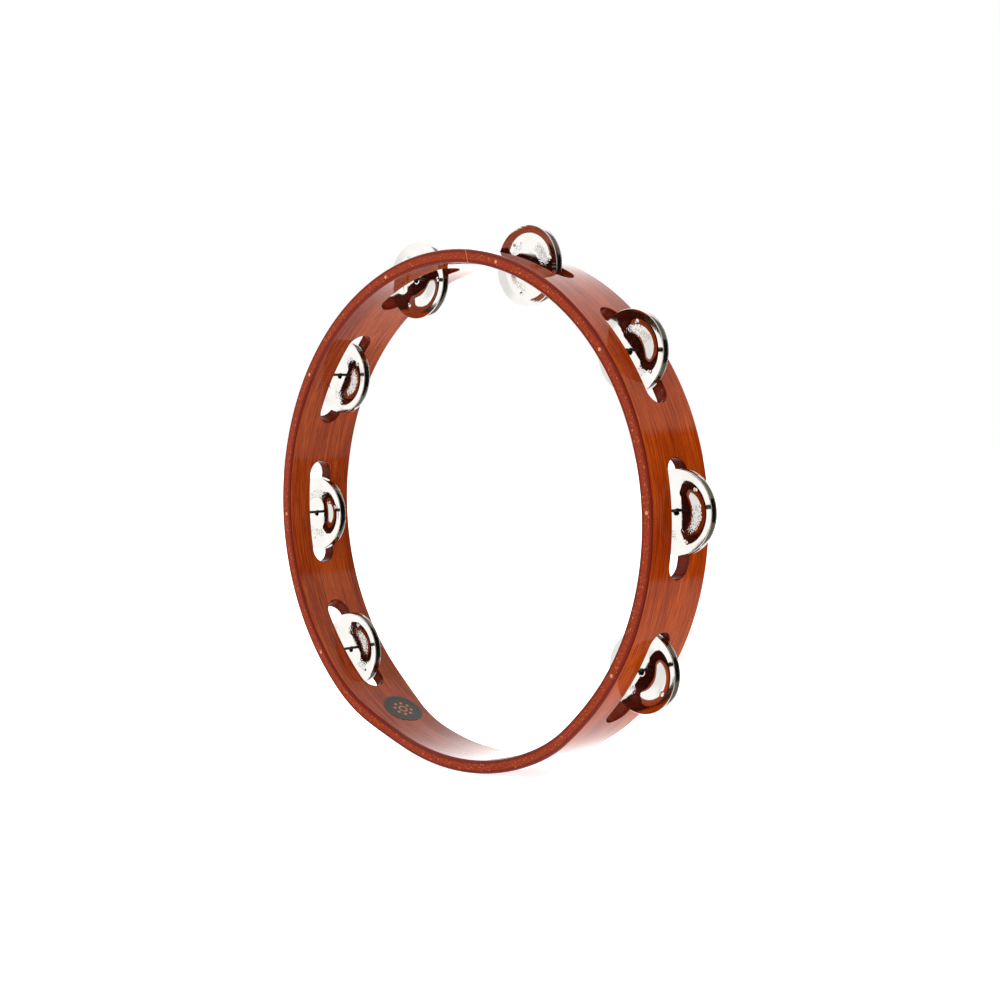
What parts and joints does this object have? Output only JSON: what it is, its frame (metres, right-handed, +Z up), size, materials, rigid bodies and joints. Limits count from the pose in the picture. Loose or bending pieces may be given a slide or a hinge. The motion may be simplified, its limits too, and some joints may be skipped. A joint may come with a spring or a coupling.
{
  "type": "tambourine",
  "caption": "Headless wooden tambourine: a round laminated hoop with pairs of pressed nickel jingles on pins in slots, and a waisted grip.",
  "frame": {"origin": "the lowest point of the hoop's rim, under the middle of the hoop, with the hoop upright", "axes": "+Z up, through the middle of the hoop and opposite the grip; the hoop's axis along Y, with the front edge, where the pins were driven in, at -Y; +X to the right seen from the front"},
  "size_m": [0.2862, 0.0408, 0.2633],
  "materials": {
    "lacquered_wood": "gloss reddish-brown lacquer",
    "nickel": "polished nickel plate",
    "pin_steel": "plain bright steel",
    "label_print": "satin dark print"
  },
  "bodies": {
    "hoop": {"outer_veneer": "lacquered_wood", "core_ply": "lacquered_wood", "inner_veneer": "lacquered_wood", "label": "label_print", "pin_1": "pin_steel", "pin_2": "pin_steel", "pin_3": "pin_steel", "pin_4": "pin_steel", "pin_5": "pin_steel", "pin_6": "pin_steel", "pin_7": "pin_steel", "pin_8": "pin_steel"},
    "front_jingle_1": {"front_jingle_1": "nickel"},
    "rear_jingle_1": {"rear_jingle_1": "nickel"},
    "front_jingle_2": {"front_jingle_2": "nickel"},
    "rear_jingle_2": {"rear_jingle_2": "nickel"},
    "front_jingle_3": {"front_jingle_3": "nickel"},
    "rear_jingle_3": {"rear_jingle_3": "nickel"},
    "front_jingle_4": {"front_jingle_4": "nickel"},
    "rear_jingle_4": {"rear_jingle_4": "nickel"},
    "front_jingle_5": {"front_jingle_5": "nickel"},
    "rear_jingle_5": {"rear_jingle_5": "nickel"},
    "front_jingle_6": {"front_jingle_6": "nickel"},
    "rear_jingle_6": {"rear_jingle_6": "nickel"},
    "front_jingle_7": {"front_jingle_7": "nickel"},
    "rear_jingle_7": {"rear_jingle_7": "nickel"},
    "front_jingle_8": {"front_jingle_8": "nickel"},
    "rear_jingle_8": {"rear_jingle_8": "nickel"}
  },
  "joints": [
    {"name": "front_jingle_1_slide", "type": "slide", "parent": "hoop", "child": "front_jingle_1", "axis": [0, -1, 0], "range_m": [0, 0.0068]},
    {"name": "rear_jingle_1_slide", "type": "slide", "parent": "hoop", "child": "rear_jingle_1", "axis": [0, 1, 0], "range_m": [0, 0.0012]},
    {"name": "front_jingle_2_slide", "type": "slide", "parent": "hoop", "child": "front_jingle_2", "axis": [0, -1, 0], "range_m": [0, 0.0068]},
    {"name": "rear_jingle_2_slide", "type": "slide", "parent": "hoop", "child": "rear_jingle_2", "axis": [0, 1, 0], "range_m": [0, 0.0012]},
    {"name": "front_jingle_3_slide", "type": "slide", "parent": "hoop", "child": "front_jingle_3", "axis": [0, -1, 0], "range_m": [0, 0.0068]},
    {"name": "rear_jingle_3_slide", "type": "slide", "parent": "hoop", "child": "rear_jingle_3", "axis": [0, 1, 0], "range_m": [0, 0.0012]},
    {"name": "front_jingle_4_slide", "type": "slide", "parent": "hoop", "child": "front_jingle_4", "axis": [0, -1, 0], "range_m": [0, 0.0068]},
    {"name": "rear_jingle_4_slide", "type": "slide", "parent": "hoop", "child": "rear_jingle_4", "axis": [0, 1, 0], "range_m": [0, 0.0012]},
    {"name": "front_jingle_5_slide", "type": "slide", "parent": "hoop", "child": "front_jingle_5", "axis": [0, -1, 0], "range_m": [0, 0.0068]},
    {"name": "rear_jingle_5_slide", "type": "slide", "parent": "hoop", "child": "rear_jingle_5", "axis": [0, 1, 0], "range_m": [0, 0.0012]},
    {"name": "front_jingle_6_slide", "type": "slide", "parent": "hoop", "child": "front_jingle_6", "axis": [0, -1, 0], "range_m": [0, 0.0068]},
    {"name": "rear_jingle_6_slide", "type": "slide", "parent": "hoop", "child": "rear_jingle_6", "axis": [0, 1, 0], "range_m": [0, 0.0012]},
    {"name": "front_jingle_7_slide", "type": "slide", "parent": "hoop", "child": "front_jingle_7", "axis": [0, -1, 0], "range_m": [0, 0.0068]},
    {"name": "rear_jingle_7_slide", "type": "slide", "parent": "hoop", "child": "rear_jingle_7", "axis": [0, 1, 0], "range_m": [0, 0.0012]},
    {"name": "front_jingle_8_slide", "type": "slide", "parent": "hoop", "child": "front_jingle_8", "axis": [0, -1, 0], "range_m": [0, 0.0068]},
    {"name": "rear_jingle_8_slide", "type": "slide", "parent": "hoop", "child": "rear_jingle_8", "axis": [0, 1, 0], "range_m": [0, 0.0012]}
  ]
}
